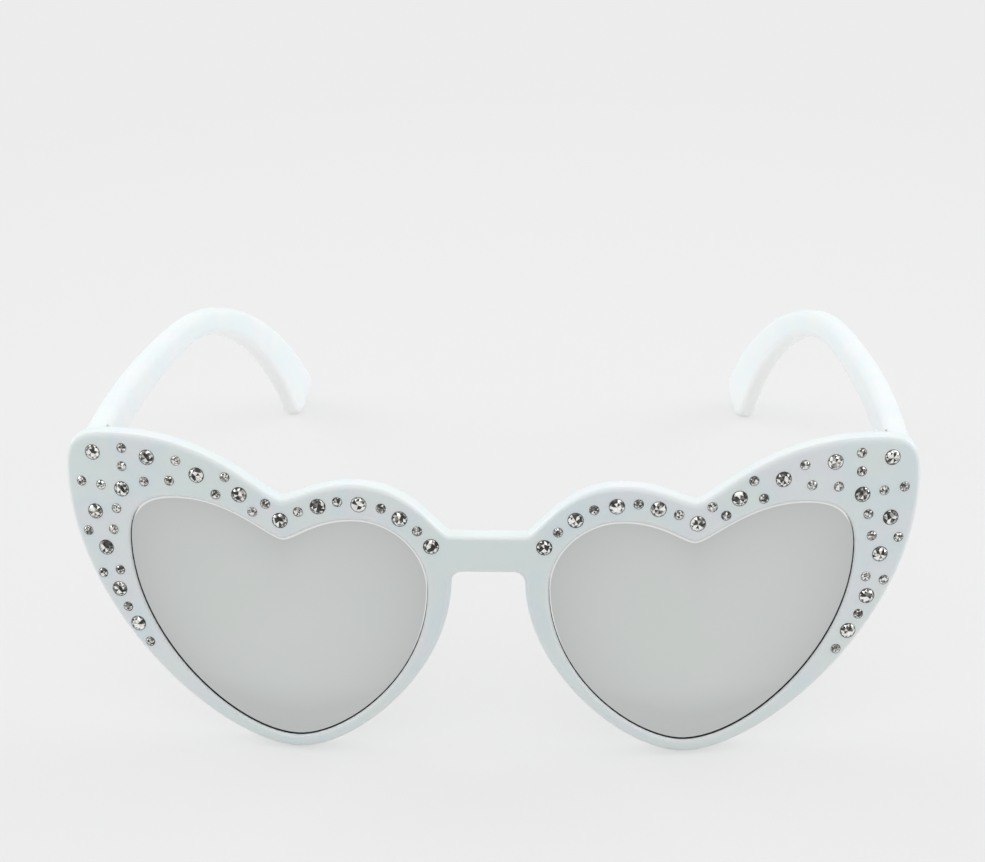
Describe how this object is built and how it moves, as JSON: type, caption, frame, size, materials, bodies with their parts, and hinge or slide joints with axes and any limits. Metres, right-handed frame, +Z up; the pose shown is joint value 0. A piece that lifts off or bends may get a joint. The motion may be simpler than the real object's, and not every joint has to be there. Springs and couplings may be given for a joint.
{
  "type": "heart shaped sunglasses",
  "caption": "Heart shaped sunglasses with a pearl white moulded front set with clear crystals, silver mirror lenses and folding temples on barrel hinges.",
  "frame": {"origin": "on the surface the glasses stand on, under the middle of their overall box", "axes": "+X to the wearer's left, across the front; +Y backward along the temples, so the face looks along -Y; +Z up from the surface"},
  "size_m": [0.1484, 0.1364, 0.0554],
  "materials": {
    "pearl_plastic": "glossy pearl white with a faint blue and pink sheen",
    "mirror_lens": "silver flash mirror coating on a smoke grey lens",
    "crystal": "clear faceted stone with a foiled back",
    "hinge_steel": "satin stamped steel",
    "screw_steel": "bright plated steel"
  },
  "bodies": {
    "front": {"front_frame": "pearl_plastic", "right_lens": "mirror_lens", "right_front_hinge_leaf": "hinge_steel", "right_hinge_screw": "screw_steel", "right_front_leaf_screws": "screw_steel", "left_lens": "mirror_lens", "left_front_hinge_leaf": "hinge_steel", "left_hinge_screw": "screw_steel", "left_front_leaf_screws": "screw_steel", "right_brow_large_crystals": "crystal", "right_brow_small_crystals": "crystal", "right_corner_large_crystals": "crystal", "right_corner_small_crystals": "crystal", "left_brow_large_crystals": "crystal", "left_brow_small_crystals": "crystal", "left_corner_large_crystals": "crystal", "left_corner_small_crystals": "crystal"},
    "right_temple_arm": {"right_temple": "pearl_plastic", "right_temple_hinge_leaf": "hinge_steel", "right_temple_leaf_screws": "screw_steel"},
    "left_temple_arm": {"left_temple": "pearl_plastic", "left_temple_hinge_leaf": "hinge_steel", "left_temple_leaf_screws": "screw_steel"}
  },
  "joints": [
    {"name": "right_temple_fold", "type": "hinge", "parent": "front", "child": "right_temple_arm", "pos_m": [-0.0683, -0.04532, 0.04573], "axis": [0, -0.1901, -0.9818], "range_deg": [0, 75]},
    {"name": "left_temple_fold", "type": "hinge", "parent": "front", "child": "left_temple_arm", "pos_m": [0.0683, -0.04532, 0.04573], "axis": [0, 0.1901, 0.9818], "range_deg": [0, 82]}
  ]
}
